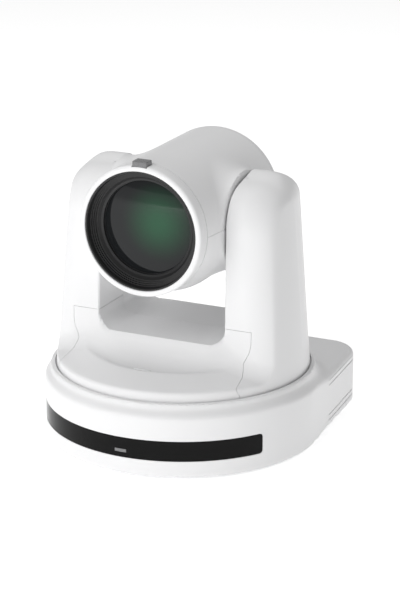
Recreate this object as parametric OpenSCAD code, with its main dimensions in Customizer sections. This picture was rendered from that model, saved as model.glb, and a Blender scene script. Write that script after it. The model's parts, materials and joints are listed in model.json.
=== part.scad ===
// Pan, tilt and zoom camera. A round base widens into a connector block at the rear. A turntable on
// it carries a U-shaped yoke, and a barrel-shaped head tilts between the yoke's two arms.
// Origin: mouth of the tripod thread, under the base on the pan axis. +Z is up, the lens looks to -Y.

/* [Base] */
// Radius of the round front wall
base_r = 80; // [76:1:98]
// Distance from the pan axis to the rear face
base_back = 98; // [94:1:120]
// Inward lean of each side towards the rear, in degrees
base_taper = 5.5; // [2:0.5:8]
// Radius of the two rear corners, seen from above
base_corner_r = 16; // [8:1:20]
// Height of the connector block's flat top
block_top = 32; // [31.5:0.5:36]
// Height of the deck that the turntable turns over
deck_top = 40.5; // [40:0.5:50]
// Height of the raised lip above the deck
lip_h = 2; // [1:0.1:3]
// Width of the collar, from the front wall in to the pan gap
collar_w = 6; // [5:0.5:8]
// Thickness of the moulded covers
wall = 2.5; // [2:0.1:3]
// Thickness of the steel bottom plate
plate_t = 2; // [1.5:0.1:3]
// Gap between the bottom plate and the cover's skirt
plate_gap = 0.5; // [0.3:0.1:1]
// Height of the rubber feet
foot_h = 1.2; // [0.8:0.1:2]
// Radius of the rubber feet
foot_r = 7; // [4:0.5:8]
// Radius of the hole in the tripod bush
thread_r = 2.55; // [2.4:0.05:4.2]
// Depth of the hole in the tripod bush
thread_depth = 8; // [6:0.5:9]
// Spacing of the bracket holes from side to side
bracket_x = 70; // [66:1:84]
// Spacing of the bracket holes from front to back
bracket_y = 50; // [46:1:60]
// Radius of the bracket holes
bracket_r = 2.1; // [1.6:0.1:2.6]

/* [Window band] */
// Height of the band's lower edge
window_low = 10.3; // [8:0.1:12]
// Height of the band's upper edge
window_high = 21.8; // [19:0.1:24]
// Angle from the front to each end of the band
window_half = 59.4; // [40:0.1:64]
// Thickness of the band's moulding
window_t = 1.5; // [1:0.1:1.8]
// Width of the status lens in the band
status_w = 7; // [4:0.5:12]

/* [Turntable and yoke] */
// Width of the pan gap round the turntable
pan_gap = 0.6; // [0.4:0.1:1]
// Lean of the yoke's outer wall, in degrees
yoke_lean = 3.9; // [2:0.1:4.4]
// Height of the floor of the yoke's opening
floor_z = 64.9; // [63:0.1:76]
// Radius of the opening's two lower corners
opening_r = 9; // [4:0.5:14]
// Radius of the arms' rounded tops, seen from the side
arm_r = 29; // [28:0.5:32]
// Distance that the arms sit behind the tilt axis
arm_shift = 1.5; // [0:0.1:2]
// Radius of the arms' outer shoulders, seen from the front
shoulder_r = 16; // [6:1:18]
// Gap between the head's side and each arm
arm_gap = 0.8; // [0.5:0.1:1.5]
// Gap between the head's sweep and the floor of the opening
floor_clear = 1.3; // [1:0.1:4]

/* [Head] */
// Radius of the head's barrel
head_r = 39.4; // [39:0.1:48]
// Half of the width across the head's side flats
side_flat = 38.7; // [38:0.1:38.9]
// Distance from the tilt axis to the bezel's front
head_front = 54.6; // [54:0.1:66]
// Distance from the tilt axis to the rear face
head_back = 51; // [50:0.1:56]
// Radius of the front bezel
bezel_r = 37.4; // [36.8:0.1:38]
// Length of the front bezel
bezel_len = 8.4; // [8:0.1:10]
// Radius of the bezel's opening
hood_r = 34.15; // [33.8:0.05:34.6]
// Height of the lens axis above the tilt axis
lens_rise = 2.5; // [1.5:0.1:3]
// Depth of the glass behind the bezel's front
glass_recess = 10.6; // [10.4:0.1:11.4]
// Radius of the front glass
glass_r = 26.6; // [24:0.1:26.8]
// Radius of the round bosses on the head's sides
trunnion_r = 28.5; // [24:0.5:30]
// Gap along the seams between covers
seam = 0.2; // [0.1:0.05:0.4]

/* [Drives] */
// Outer radius of the fixed pan post
post_r = 15; // [13:0.5:18]
// Radial size of the pan bearing, from its bore to its outside
bearing_w = 7; // [6:0.5:8]
// Teeth on the turntable's pulley
pan_teeth = 108; // [100:1:112]
// Teeth on the pan motor's pinion
pan_pinion_teeth = 24; // [18:1:28]
// Teeth on the head's pulley
tilt_teeth = 48; // [40:1:56]
// Teeth on the tilt motor's pinion
tilt_pinion_teeth = 16; // [14:1:20]
// Pitch of the belt teeth
belt_pitch = 2; // [2:0.1:2.1]
// Radius of the tilt shafts
shaft_r = 6; // [5:0.1:7.5]
// Radial running clearance in the bearings
run = 0.05; // [0.02:0.01:0.08]

/* [Rear connectors] */
// Height of the connectors' centre line
port_z = 16.5; // [15:0.5:18]
// Width of the network socket's opening
lan_w = 11.8; // [11.5:0.1:14.5]
// Height of the network socket's opening
lan_h = 8.5; // [7:0.1:10.5]
// Radius of the video connector's barrel
bnc_r = 4.8; // [4.5:0.05:5.8]
// Radius of the audio socket
audio_r = 1.8; // [1.75:0.05:2.2]

/* [Hidden] */
$fn = 96;
eps = 0.01;
far = 200;
clear = 0.15;
skirt_low = 0.4;
collar_set = 0.5;
side_set = 0.35;
bush_r = 9;

// Turntable and yoke, from the base
lip_top = deck_top + lip_h;
skirt_z = deck_top + 1;
table_r = base_r - collar_w - pan_gap;
rim_z = skirt_z + 6;
bowl_r = table_r - 16.4;
bowl_z = rim_z + 6;
hill_r = 30;
half_gap = side_flat + arm_gap;
cover_split_z = floor_z + 10.4;
cover_split_x = table_r - 17.4;
seam_y = 1;

// Head, from the floor of the opening
lens_low = bezel_r - lens_rise;
sweep_r = norm([head_front, lens_low]);
tilt_z = floor_z + sweep_r + floor_clear;
lens_z = tilt_z + lens_rise;
arm_top = tilt_z + arm_r;
bezel_back = head_front - bezel_len;
cover_front = bezel_back - seam;
nose_y = 18;
nose_len = cover_front - nose_y;
nose_step = 0.5;
nose_drop = 1.6;
cap_y = 44.3;
cap_taper = 4;
head_split_z = tilt_z + 1.6;
glass_y = -head_front + glass_recess;
glass_t = 4;
glass_crown = 2.6;
glass_rim = 1.3;

// Pan drive
post_foot_r = 28;
post_wall = 4;
race_z = 14;
race_h = 8;
race_t = 2.2;
hub_r = post_r + bearing_w;
hub_t = 4;
pulley_z = 18;
pulley_h = 9;
flange_t = 1;
pan_pulley_r = pan_teeth * belt_pitch / (2 * PI);
pan_pinion_r = pan_pinion_teeth * belt_pitch / (2 * PI);
pan_motor_y = 60;
pan_motor_w = 35;
motor_shaft_r = 2.5;
belt_t = 1.2;
belt_gap = 0.12;
table_plate_z = skirt_z + 0.5;
table_plate_t = 3;
table_top = table_plate_z + table_plate_t;

// Tilt drive
upright_x = half_gap + wall + 1;
upright_t = 3;
tilt_pulley_x = upright_x + upright_t + flange_t + 0.3;
tilt_pulley_h = 6;
tilt_pulley_r = tilt_teeth * belt_pitch / (2 * PI);
tilt_pinion_r = tilt_pinion_teeth * belt_pitch / (2 * PI);
tilt_drop = 47;
tilt_motor_z = tilt_z - tilt_drop;
tilt_motor_w = 24;
tilt_motor_x = tilt_pulley_x + tilt_pulley_h + 1;
tilt_motor_t = 8.5;
tilt_bearing_r = shaft_r + 5;
tilt_shaft_end = tilt_pulley_x + tilt_pulley_h + 0.5;
frame_y = 20;

// Optical block inside the head
barrel_r = 26.9;
barrel_bore = 22.5;
barrel_back = 30;
group_r = barrel_bore - 0.3;
rod_r = 1;
rod_z = 19.5;
screw_x = 18.5;
screw_r = 1.2;
frame_disc = 34;

// Base internals
board_t = 1.6;
board_z = 6;
board_out = base_r - 16;
board_in = 31;
io_board_y = base_back - 18;
panel_w = 52;
panel_low = 5.5;
panel_high = block_top - wall - 1.5;
panel_y = base_back - 3.5;
panel_t = 2;
port_back = io_board_y + board_t;
port_front = panel_y + panel_t + 0.3;
dc_x = -44;
lan_x = -27;
control_x = -8;
hdmi_x = 12;
sdi_x = 30;
audio_x = 45;
jack_w = 11;
audio_w = 8;
lan_wall = 1.6;
hdmi_w = 15;
hdmi_h = 5.6;
hdmi_wall = 0.6;
foot_side = 56;
feet = [[-48, -46], [48, -46], [-foot_side, base_back - 20], [foot_side, base_back - 20]];
front_boss = base_r - 10.5;
boss_angle = 30;
rear_boss = [62, 55];
boss_r = 3.5;
m3 = 1.5;
m3_head = 2.9;

white = [0.93, 0.93, 0.93];
black = [0.06, 0.06, 0.06];
grey = [0.35, 0.35, 0.36];
steel = [0.7, 0.71, 0.73];
green = [0.05, 0.3, 0.16];

// ---------- shapes used by several parts ----------

// Box between two corners
module block(low, high) {
    translate(low) cube(high - low);
}

// Box centred on x = 0
module bar(half_x, y0, y1, z0, z1) {
    block([-half_x, y0, z0], [half_x, y1, z1]);
}

// Round rod along Y
module rod_y(r, y0, y1, x = 0, z = 0) {
    translate([x, y0, z]) rotate([-90, 0, 0]) cylinder(h = y1 - y0, r = r);
}

// Round rod along X
module rod_x(r, x0, x1, y = 0, z = 0) {
    translate([x0, y, z]) rotate([0, 90, 0]) cylinder(h = x1 - x0, r = r);
}

// Flat ring along Z
module ring(r_out, r_in, z0, z1) {
    difference() {
        translate([0, 0, z0]) cylinder(h = z1 - z0, r = r_out);
        translate([0, 0, z0 - 1]) cylinder(h = z1 - z0 + 2, r = r_in);
    }
}

// Mirrored copy across the pan axis, with the original
module both() {
    children();
    mirror([1, 0, 0]) children();
}

// Outline of a belt that runs round two circles, d apart along X
module belt_outline(d, r1, r2) {
    s = (r1 - r2) / d;
    c = sqrt(1 - s * s);
    circle(r1);
    translate([d, 0]) circle(r2);
    polygon([[r1 * s, r1 * c], [d + r2 * s, r2 * c], [d + r2 * s, -r2 * c], [r1 * s, -r1 * c]]);
}

// Closed belt, d apart, just clear of both pulleys
module belt(d, r1, r2, h) {
    linear_extrude(h) difference() {
        belt_outline(d, r1 + belt_gap + belt_t, r2 + belt_gap + belt_t);
        belt_outline(d, r1 + belt_gap, r2 + belt_gap);
    }
}

// Toothed pulley along Z, with a guide flange at each end
module pulley(r, teeth, bore, h) {
    groove_w = belt_pitch * 0.5;
    groove_d = 0.7;
    difference() {
        union() {
            cylinder(h = h, r = r);
            translate([0, 0, -flange_t]) cylinder(h = flange_t, r = r + 1.6);
            translate([0, 0, h]) cylinder(h = flange_t, r = r + 1.6);
        }
        translate([0, 0, -flange_t - 1]) cylinder(h = h + 2 * flange_t + 2, r = bore);
        for (i = [0:teeth - 1])
            rotate(i * 360 / teeth)
                block([r - groove_d, -groove_w / 2, eps], [r + 1, groove_w / 2, h - eps]);
    }
}

// Countersunk screw along +Z, with the top of its head at z = 0 and its tip below
module screw(len) {
    slot_r = 1.2;
    difference() {
        union() {
            translate([0, 0, -1.6]) cylinder(h = 1.6, r1 = m3 - 0.05, r2 = m3_head);
            translate([0, 0, -len]) cylinder(h = len - 1.6 + eps, r = m3 - 0.05);
        }
        translate([0, 0, -1]) cylinder(h = 2, r = slot_r, $fn = 6);
    }
}

// Hole that the screw sits in
module screw_seat(depth) {
    translate([0, 0, -1.7]) cylinder(h = 1.7 + eps, r1 = m3 + 0.1, r2 = m3_head + 0.15);
    cylinder(h = 2, r = m3_head + 0.15);
    translate([0, 0, -depth]) cylinder(h = depth, r = m3 + 0.1);
}

// ---------- base ----------

// Outline of the base seen from above, moved in by t
module base_outline(t) {
    n = [cos(base_taper), sin(base_taper)];
    reach = base_r - side_set - base_corner_r;
    cy = base_back - base_corner_r;
    cx = (reach - cy * n.y) / n.x;
    r = base_corner_r - t;
    big = base_r - t;
    side = base_r - side_set - t;
    circle(big);
    polygon([
        side * [n.x, n.y], [cx, cy] + r * [n.x, n.y], [cx, cy + r],
        [-cx, cy + r], [-cx, cy] + r * [-n.x, n.y], side * [-n.x, n.y]
    ]);
    translate([cx, cy]) circle(r);
    translate([-cx, cy]) circle(r);
}

// Collar round the turntable: shoulder, soft groove and raised lip
module collar_profile() {
    gap_r = table_r + pan_gap;
    r = base_r - collar_set;
    polygon([
        [0, block_top - 2], [r, block_top - 2], [r, lip_top - 9.3], [base_r - 1.2, lip_top - 7.2],
        [base_r - 2.6, lip_top - 6], [base_r - 3.2, lip_top - 3.6], [base_r - 4, lip_top - 1],
        [base_r - 5.2, lip_top], [gap_r, lip_top], [gap_r, deck_top], [0, deck_top]
    ]);
}

// Wedge that spans an angle on each side of the front
module front_wedge(half, z0, z1) {
    reach = base_r + 40;
    translate([0, 0, z0]) linear_extrude(z1 - z0) polygon([
        [0, 0], reach * [sin(half), -cos(half)], reach * [sin(half / 2), -cos(half / 2)], [0, -reach],
        reach * [-sin(half / 2), -cos(half / 2)], reach * [-sin(half), -cos(half)]
    ]);
}

// Curved band on the front wall
module front_band(r_out, r_in, half, z0, z1) {
    intersection() {
        ring(r_out, r_in, z0, z1);
        front_wedge(half, z0 - 1, z1 + 1);
    }
}

// The four screw posts' places under the cover
module boss_places() {
    for (side = [-1, 1]) {
        translate([side * front_boss * cos(boss_angle), -front_boss * sin(boss_angle), 0]) children();
        translate([side * rear_boss.x, rear_boss.y, 0]) children();
    }
}

module base_cover() {
    window_r = base_r - window_t;
    groove_d = 0.5;
    color(white) difference() {
        union() {
            translate([0, 0, skirt_low]) linear_extrude(block_top - skirt_low) base_outline(0);
            rotate_extrude() collar_profile();
        }
        difference() {
            union() {
                translate([0, 0, -1]) linear_extrude(block_top - wall + 1) base_outline(wall);
                cylinder(h = deck_top - wall, r = table_r + pan_gap - wall);
            }
            intersection() {
                boss_places() translate([0, 0, plate_t + 0.2]) cylinder(h = deck_top, r = boss_r);
                union() {
                    cylinder(h = deck_top, r = base_r - wall);
                    linear_extrude(block_top) base_outline(wall);
                }
            }
        }
        cylinder(h = far, r = pan_pulley_r + 13);
        boss_places() cylinder(h = 16, r = m3);
        front_band(base_r + 1, window_r - 0.1, window_half + 0.15, window_low - 0.15, window_high + 0.15);
        front_band(base_r, base_r - 2 * wall, window_half - 5, window_low + 2, window_high - 2);
        bar(panel_w + 0.2, panel_y - 5, far, panel_low - 0.2, panel_high + 0.2);
        side_grooves(groove_d);
    }
}

// Two pairs of fine grooves along each flat side of the connector block
module side_grooves(depth) {
    groove_h = 1;
    both() rotate(base_taper) for (z = [4.5, 7.6, 26.2, 29.2])
        block([base_r - side_set - depth, 24, z - groove_h / 2], [base_r + 1, 72, z + groove_h / 2]);
}

module ir_window() {
    color(black) difference() {
        front_band(base_r, base_r - window_t, window_half, window_low, window_high);
        status_slot(clear);
    }
}

// Place of the status lens in the band
module status_slot(grow) {
    z = (window_low + window_high) / 2 - 2;
    bar(status_w / 2 + grow, -base_r - 1, -base_r + window_t + 1, z - 0.9 - grow, z + 0.9 + grow);
}

module status_lens() {
    color(grey) intersection() {
        ring(base_r - 0.05, base_r - window_t, window_low, window_high);
        status_slot(0);
    }
}

module bottom_plate() {
    color(steel) difference() {
        union() {
            linear_extrude(plate_t) base_outline(wall + plate_gap);
            bracket_places() translate([0, 0, plate_t - eps]) cylinder(h = 3.5, r = 4.5);
        }
        translate([0, 0, -1]) cylinder(h = plate_t + 2, r = bush_r);
        bracket_places() translate([0, 0, -1]) cylinder(h = 10, r = bracket_r);
        boss_places() rotate([180, 0, 0]) screw_seat(plate_t + 1);
    }
}

// The four bracket holes
module bracket_places() {
    for (x = [-1, 1], y = [-1, 1])
        translate([x * bracket_x / 2, y * bracket_y / 2, 0]) children();
}

module rubber_feet() {
    color(black) for (p = feet)
        translate([p.x, p.y, -foot_h]) cylinder(h = foot_h, r = foot_r);
}

module tripod_bush() {
    bush_h = 10;
    color([0.75, 0.6, 0.3]) difference() {
        union() {
            cylinder(h = bush_h, r = bush_r);
            translate([0, 0, plate_t]) cylinder(h = 2, r = bush_r + 1.4);
        }
        translate([0, 0, -1]) cylinder(h = thread_depth + 1, r = thread_r);
    }
}

// ---------- rear connectors ----------

module rear_panel() {
    color(grey) difference() {
        bar(panel_w, panel_y, panel_y + panel_t, panel_low, panel_high);
        port_body(dc_x, jack_w, jack_w, clear, 1);
        port_body(lan_x, lan_w + 2 * lan_wall, lan_h + 2 * lan_wall, clear, 1);
        port_body(control_x, lan_w + 2 * lan_wall, lan_h + 2 * lan_wall, clear, 1);
        port_body(hdmi_x, hdmi_w + 2 * hdmi_wall, hdmi_h + 2 * hdmi_wall, clear, 1);
        rod_y(bnc_r + 2.4, panel_y - 1, panel_y + 3, sdi_x, port_z);
        port_body(audio_x, audio_w, audio_w, clear, 1);
    }
}

// Rectangular connector housing from its board to the panel
module port_body(x, w, h, grow, over) {
    block([x - w / 2 - grow, port_back, port_z - h / 2 - grow],
          [x + w / 2 + grow, port_front + over, port_z + h / 2 + grow]);
}

module dc_jack() {
    color(black) difference() {
        port_body(dc_x, jack_w, jack_w, 0, 0);
        rod_y(3.2, port_front - 9.5, port_front + 1, dc_x, port_z);
    }
    color(steel) rod_y(1, port_front - 9.5, port_front - 1, dc_x, port_z);
}

// Socket with a plain rectangular opening
module network_socket(x) {
    depth = 11;
    color(steel) difference() {
        port_body(x, lan_w + 2 * lan_wall, lan_h + 2 * lan_wall, 0, 0);
        block([x - lan_w / 2, port_front - depth, port_z - lan_h / 2],
              [x + lan_w / 2, port_front + 1, port_z + lan_h / 2]);
        block([x - 2, port_front - depth, port_z - lan_h / 2 - 1],
              [x + 2, port_front + 1, port_z - lan_h / 2 + 1]);
    }
}

module lan_port() {
    network_socket(lan_x);
}

module control_port() {
    network_socket(control_x);
}

module hdmi_port() {
    depth = 10;
    color(steel) difference() {
        port_body(hdmi_x, hdmi_w + 2 * hdmi_wall, hdmi_h + 2 * hdmi_wall, 0, 0);
        difference() {
            block([hdmi_x - hdmi_w / 2, port_front - depth, port_z - hdmi_h / 2],
                  [hdmi_x + hdmi_w / 2, port_front + 1, port_z + hdmi_h / 2]);
            block([hdmi_x - 5, port_front - depth - 1, port_z - 0.5],
                  [hdmi_x + 5, port_front - 1.5, port_z + 0.5]);
        }
    }
}

module sdi_connector() {
    barrel_len = 8;
    color(steel) {
        difference() {
            union() {
                rod_y(bnc_r + 2.2, port_back, port_front, sdi_x, port_z);
                rod_y(bnc_r, port_front - eps, port_front + barrel_len, sdi_x, port_z);
                bayonet_lugs(port_front + barrel_len - 3);
            }
            rod_y(bnc_r - 0.9, port_front - 2, port_front + barrel_len + 1, sdi_x, port_z);
        }
        rod_y(0.7, port_front - 2, port_front + barrel_len - 3, sdi_x, port_z);
    }
}

// Two bayonet lugs across the barrel
module bayonet_lugs(y) {
    difference() {
        translate([sdi_x, y, port_z - bnc_r - 1]) cylinder(h = 2 * bnc_r + 2, r = 1, $fn = 32);
        rod_y(bnc_r - 0.5, y - 2, y + 2, sdi_x, port_z);
    }
}

module audio_jack() {
    color(black) difference() {
        port_body(audio_x, audio_w, audio_w, 0, 0);
        rod_y(audio_r, port_front - 12, port_front + 1, audio_x, port_z);
    }
}

module io_board() {
    color(green) bar(panel_w + 2, io_board_y, port_back, 4, block_top - wall - 1);
}

// ---------- boards in the base ----------

module main_board() {
    stand_r = 3;
    color(green) difference() {
        union() {
            intersection() {
                ring(board_out, board_in, board_z, board_z + board_t);
                bar(far, -far, 10, 0, far);
            }
            for (a = [-150, -90, -30])
                rotate(a) translate([board_out - 8, 0, plate_t])
                    cylinder(h = board_z - plate_t + eps, r = stand_r);
        }
        bracket_places() cylinder(h = far, r = 6);
    }
}

module processor() {
    color(black) {
        bar(9, -59, -41, board_z + board_t, board_z + board_t + 1.4);
        for (x = [-40, -28, 28, 40])
            block([x - 4, -46, board_z + board_t], [x + 4, -34, board_z + board_t + 1.4]);
    }
}

module heat_sink() {
    z = board_z + board_t + 1.4;
    fin_t = 1;
    fin_pitch = 3.1;
    color(steel) {
        bar(12, -61, -39, z, z + 1.5);
        for (i = [-3.5:3.5])
            translate([i * fin_pitch, 0, 0]) bar(fin_t / 2, -61, -39, z + 1.5 - eps, z + 7);
    }
}

module ir_board() {
    color(green) front_band(base_r - wall - 1.6, base_r - wall - 3.2, 50, window_low - 1, window_high + 1);
}

// ---------- pan drive ----------

module pan_post() {
    color(steel) difference() {
        union() {
            translate([0, 0, plate_t]) cylinder(h = 3, r = post_foot_r);
            translate([0, 0, plate_t]) cylinder(h = race_z - plate_t, r = post_r + 1.6);
            translate([0, 0, plate_t]) cylinder(h = deck_top - 6 - plate_t, r = post_r);
        }
        cylinder(h = far, r = post_r - post_wall);
        ring(post_r + 1, post_r - 0.8, race_z + race_h + 0.1, race_z + race_h + 1.3);
        for (a = [45:90:315])
            rotate(a) translate([post_foot_r - 4.5, 0, 0]) cylinder(h = 10, r = m3 + 0.1);
    }
}

// Inner race with its balls
module pan_bearing_inner() {
    ball_r = (bearing_w - 2 * race_t) / 2 - run;
    color(steel) {
        ring(post_r + race_t, post_r, race_z, race_z + race_h);
        for (a = [0:30:330])
            rotate(a) translate([post_r + bearing_w / 2, 0, race_z + race_h / 2]) sphere(ball_r);
    }
}

module pan_bearing_outer() {
    color(steel) ring(hub_r, hub_r - race_t, race_z, race_z + race_h);
}

module retaining_ring() {
    color(grey) ring(post_r + 1.8, post_r - 0.75, race_z + race_h + 0.15, race_z + race_h + 1.25);
}

module pan_motor() {
    w = pan_motor_w / 2;
    color(grey) difference() {
        union() {
            translate([0, pan_motor_y, 0]) bar(w, -w, w, plate_t, pulley_z - flange_t - 2);
            translate([0, pan_motor_y, pulley_z - flange_t - 2 - eps]) cylinder(h = 1.5, r = 9);
        }
        translate([0, pan_motor_y, plate_t + 3]) cylinder(h = far, r = motor_shaft_r + run);
    }
}

module pan_motor_shaft() {
    color(steel) translate([0, pan_motor_y, plate_t + 3.2])
        cylinder(h = pulley_z + pulley_h - plate_t - 2, r = motor_shaft_r);
}

module pan_pinion() {
    color(white) translate([0, pan_motor_y, pulley_z])
        pulley(pan_pinion_r, pan_pinion_teeth, motor_shaft_r, pulley_h);
}

module pan_belt() {
    color(black) translate([0, 0, pulley_z + 0.5]) rotate(90)
        belt(pan_motor_y, pan_pulley_r, pan_pinion_r, pulley_h - 1);
}

module pan_pulley() {
    color(white) translate([0, 0, pulley_z]) pulley(pan_pulley_r, pan_teeth, hub_r + hub_t, pulley_h);
}

module pan_hub() {
    hub_flange = hub_r + hub_t + 12;
    color(steel) {
        difference() {
            union() {
                translate([0, 0, race_z]) cylinder(h = table_plate_z - race_z, r = hub_r + hub_t);
                translate([0, 0, table_plate_z - 3]) cylinder(h = 3, r = hub_flange);
            }
            cylinder(h = far, r = hub_r);
        }
    }
}

module base_screws() {
    color(steel) boss_places() rotate([180, 0, 0]) screw(10);
}

// ---------- turntable and yoke ----------

// Outline of a turned turntable, moved in by t, with its bottom lowered by drop
module table_profile(t, drop) {
    polygon([
        [0, skirt_z - drop], [table_r - t, skirt_z - drop], [table_r - t, rim_z - t / 2],
        [bowl_r - t / 2, bowl_z - t], [hill_r, floor_z - t], [0, floor_z - t]
    ]);
}

// Side view of an arm, moved in by t, drawn with Y to the right and Z up
module arm_side(t, drop) {
    r = arm_r - t;
    polygon([
        [arm_shift - r - 2, skirt_z - drop], [arm_shift + r + 1, skirt_z - drop],
        [arm_shift + r, tilt_z], [arm_shift - r, tilt_z]
    ]);
    translate([arm_shift, tilt_z]) circle(r);
}

// Front view of both arms with rounded outer shoulders, moved in by t
module arms_front(t, drop) {
    r = shoulder_r - t;
    top_r = table_r - (arm_top - skirt_z) * tan(yoke_lean);
    cx = top_r + 1 - shoulder_r;
    cz = arm_top - shoulder_r;
    translate([-cx, skirt_z - drop]) square([2 * cx, arm_top - t - skirt_z + drop]);
    translate([-far, skirt_z - drop]) square([2 * far, cz - skirt_z + drop]);
    translate([cx, cz]) circle(r);
    translate([-cx, cz]) circle(r);
}

// Cross-section of the yoke's opening, grown by t into the material
module opening_section(t) {
    x = half_gap - opening_r;
    z = floor_z + opening_r;
    r = opening_r + t;
    translate([-half_gap - t, z]) square([2 * (half_gap + t), far]);
    translate([-x, floor_z - t]) square([2 * x, far]);
    translate([x, z]) circle(r);
    translate([-x, z]) circle(r);
}

// Turns a drawing with X to the right and Z up into a solid along Y
module along_y(y0, y1) {
    translate([0, y1, 0]) rotate([90, 0, 0]) linear_extrude(y1 - y0) children();
}

// Turns a drawing with Y to the right and Z up into a solid along X
module along_x(x0, x1) {
    translate([x0, 0, 0]) rotate([90, 0, 90]) linear_extrude(x1 - x0) children();
}

// Whole yoke and turntable as one form, moved in by t
module yoke_form(t, drop = 0) {
    cone_h = arm_top + 5 - skirt_z + drop;
    difference() {
        union() {
            intersection() {
                translate([0, 0, skirt_z - drop])
                    cylinder(h = cone_h, r1 = table_r - t, r2 = table_r - t - cone_h * tan(yoke_lean));
                along_x(-far, far) arm_side(t, drop);
                along_y(-far, far) arms_front(t, drop);
            }
            rotate_extrude() table_profile(t, drop);
        }
        along_y(-far, far) opening_section(t);
    }
}

// Space of the front lower cover
module front_cover_space(gap) {
    x = cover_split_x;
    along_y(-far, seam_y - gap) polygon([
        [-x - 0.4 + gap, -1], [x + 0.4 - gap, -1], [x - 4 - gap, bowl_z + 4], [x - gap, floor_z],
        [x - gap, cover_split_z - gap], [-x + gap, cover_split_z - gap], [-x + gap, floor_z],
        [-x + 4 + gap, bowl_z + 4]
    ]);
}

// Flat inner panel of the right arm
module arm_panel_plate(gap) {
    inset = wall + 1;
    low = cover_split_z + 6;
    intersection() {
        along_x(half_gap - 1, half_gap + wall + eps) arm_side(inset + gap, 0);
        block([0, -far, low + gap], [far, far, far]);
    }
}

module yoke_shell() {
    difference() {
        yoke_form(0);
        yoke_form(wall, 1);
    }
}

module yoke_cover() {
    color(white) difference() {
        yoke_shell();
        front_cover_space(0);
        both() arm_panel_plate(0);
        yoke_screw_places() screw_seat(4);
    }
}

module yoke_front_cover() {
    color(white) difference() {
        intersection() {
            yoke_shell();
            front_cover_space(seam);
        }
        mark_space(clear);
    }
}

module arm_panel() {
    difference() {
        intersection() {
            arm_panel_plate(seam);
            block([half_gap, -far, 0], [far, far, far]);
        }
        rod_x(shaft_r + 1.5, 0, far, 0, tilt_z);
    }
}

module right_arm_panel() {
    color(white) arm_panel();
}

module left_arm_panel() {
    color(white) mirror([1, 0, 0]) arm_panel();
}

// Small oval pad in the turntable's front bowl
module mark_space(grow) {
    y = -bowl_r + 5;
    z = bowl_z - 1;
    for (x = [-3, 3])
        translate([x, y, z - 2]) cylinder(h = 5, r = 2.1 + grow);
    bar(3, y - 2.1 - grow, y + 2.1 + grow, z - 2, z + 3);
}

module index_mark() {
    color(white) mark_space(0);
}

// Screws up through the rear of the arms
module yoke_screw_places() {
    y = arm_shift + arm_r + 2;
    for (x = [-1, 1])
        translate([x * (half_gap + 12), y, cover_split_z + 4]) rotate([-90, 0, 0]) children();
}

module yoke_screws() {
    color(steel) yoke_screw_places() screw(7);
}

module turntable_plate() {
    stand = 4.5;
    color(steel) {
        ring(table_r - wall - 0.5, hub_r + 1, table_plate_z, table_top);
        for (x = [-20, 20], y = [-40, -28])
            translate([x, y, table_top - eps]) cylinder(h = stand, r = 2.5);
    }
}

module drive_board() {
    z = table_top + 4.5;
    color(green) bar(24, -44, -24, z, z + board_t);
}

module yoke_frame() {
    z = table_top;
    color(steel) difference() {
        union() {
            bar(upright_x + upright_t, -frame_y, frame_y, z, z + 3);
            both() along_x(upright_x, upright_x + upright_t) {
                translate([-frame_y + 4, z]) square([2 * frame_y - 8, tilt_z - z]);
                translate([0, tilt_z]) circle(frame_y - 2);
            }
        }
        rod_x(tilt_bearing_r, -far, far, 0, tilt_z);
        cylinder(h = far, r = hub_r - 8);
        rod_x(tilt_pinion_r + 3.4, 0, far, 0, tilt_motor_z);
    }
}

module tilt_bearings() {
    color(steel) both() difference() {
        rod_x(tilt_bearing_r, upright_x - 0.4, upright_x + upright_t - 0.2, 0, tilt_z);
        rod_x(shaft_r + run, 0, far, 0, tilt_z);
    }
}

module tilt_motor() {
    w = tilt_motor_w / 2;
    x = tilt_motor_x;
    color(grey) difference() {
        union() {
            block([x, -w, tilt_motor_z - w], [x + tilt_motor_t, w, tilt_motor_z + w]);
            for (y = [-9.5, 9.5])
                rod_x(1.8, upright_x + upright_t, x + eps, y, tilt_motor_z - 9.5);
        }
        rod_x(motor_shaft_r - 0.5 + run, x - 1, x + 6, 0, tilt_motor_z);
    }
}

module tilt_motor_shaft() {
    color(steel) rod_x(motor_shaft_r - 0.5, tilt_pulley_x - 1.5, tilt_motor_x + 5.8, 0, tilt_motor_z);
}

module tilt_pinion() {
    color(white) translate([tilt_pulley_x, 0, tilt_motor_z]) rotate([0, 90, 0])
        pulley(tilt_pinion_r, tilt_pinion_teeth, motor_shaft_r - 0.5, tilt_pulley_h);
}

module tilt_belt() {
    color(black) translate([tilt_pulley_x + 0.5, 0, tilt_z]) rotate([0, 90, 0])
        belt(tilt_drop, tilt_pulley_r, tilt_pinion_r, tilt_pulley_h - 1);
}

module tilt_pulley() {
    color(white) translate([tilt_pulley_x, 0, tilt_z]) rotate([0, 90, 0])
        pulley(tilt_pulley_r, tilt_teeth, shaft_r, tilt_pulley_h);
}

// ---------- head ----------

// Barrel, tapered nose and side bosses as one form, moved in by t and longer by over at each end
module head_form(t, over) {
    lift = atan2(lens_rise - 0.2, nose_len);
    flat = side_flat - t;
    intersection() {
        union() {
            rod_y(head_r - t, -nose_y, cap_y + over, 0, tilt_z);
            intersection() {
                translate([0, -nose_y, tilt_z]) rotate([90 - lift, 0, 0]) translate([0, 0, -4])
                    cylinder(h = nose_len + 12, r1 = head_r - nose_step - t + 0.2,
                             r2 = head_r - nose_step - nose_drop - t - 0.4);
                bar(far, -cover_front - over, -nose_y + 1, 0, far);
            }
            rod_x(trunnion_r - t, -flat, flat, 0, tilt_z);
        }
        bar(flat, -far, far, 0, far);
    }
}

module head_shell() {
    difference() {
        head_form(0, 0);
        head_form(wall, 1);
        rod_x(shaft_r + 0.5, -far, far, 0, tilt_z);
    }
}

module head_upper_cover() {
    color(white) intersection() {
        head_shell();
        bar(far, -far, far, head_split_z + seam / 2, far);
    }
}

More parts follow.
